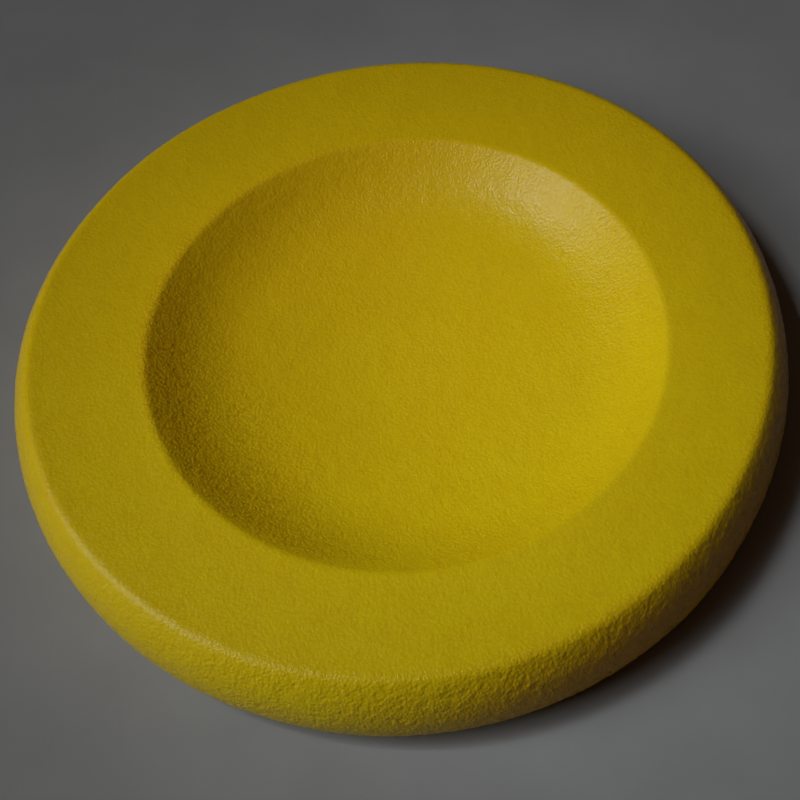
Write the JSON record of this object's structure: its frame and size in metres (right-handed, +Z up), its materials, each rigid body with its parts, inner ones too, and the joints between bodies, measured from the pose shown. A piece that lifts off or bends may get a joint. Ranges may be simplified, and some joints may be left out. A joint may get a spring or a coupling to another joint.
{
  "type": "foam flying disc",
  "caption": "Soft foam flying disc with a seamless elastic coat, a flat rim, a rounded side and a shallow round finger recess.",
  "frame": {"origin": "centre of the disc on the flat base it lies on", "axes": "+Z up along the disc's axis, out of the finger recess; X and Y are any two directions across the round disc"},
  "size_m": [0.245, 0.245, 0.03],
  "materials": {
    "foam": "matte",
    "coat": "satin"
  },
  "bodies": {
    "root": {"foam_core": "foam", "coated_skin": "coat"}
  },
  "joints": []
}
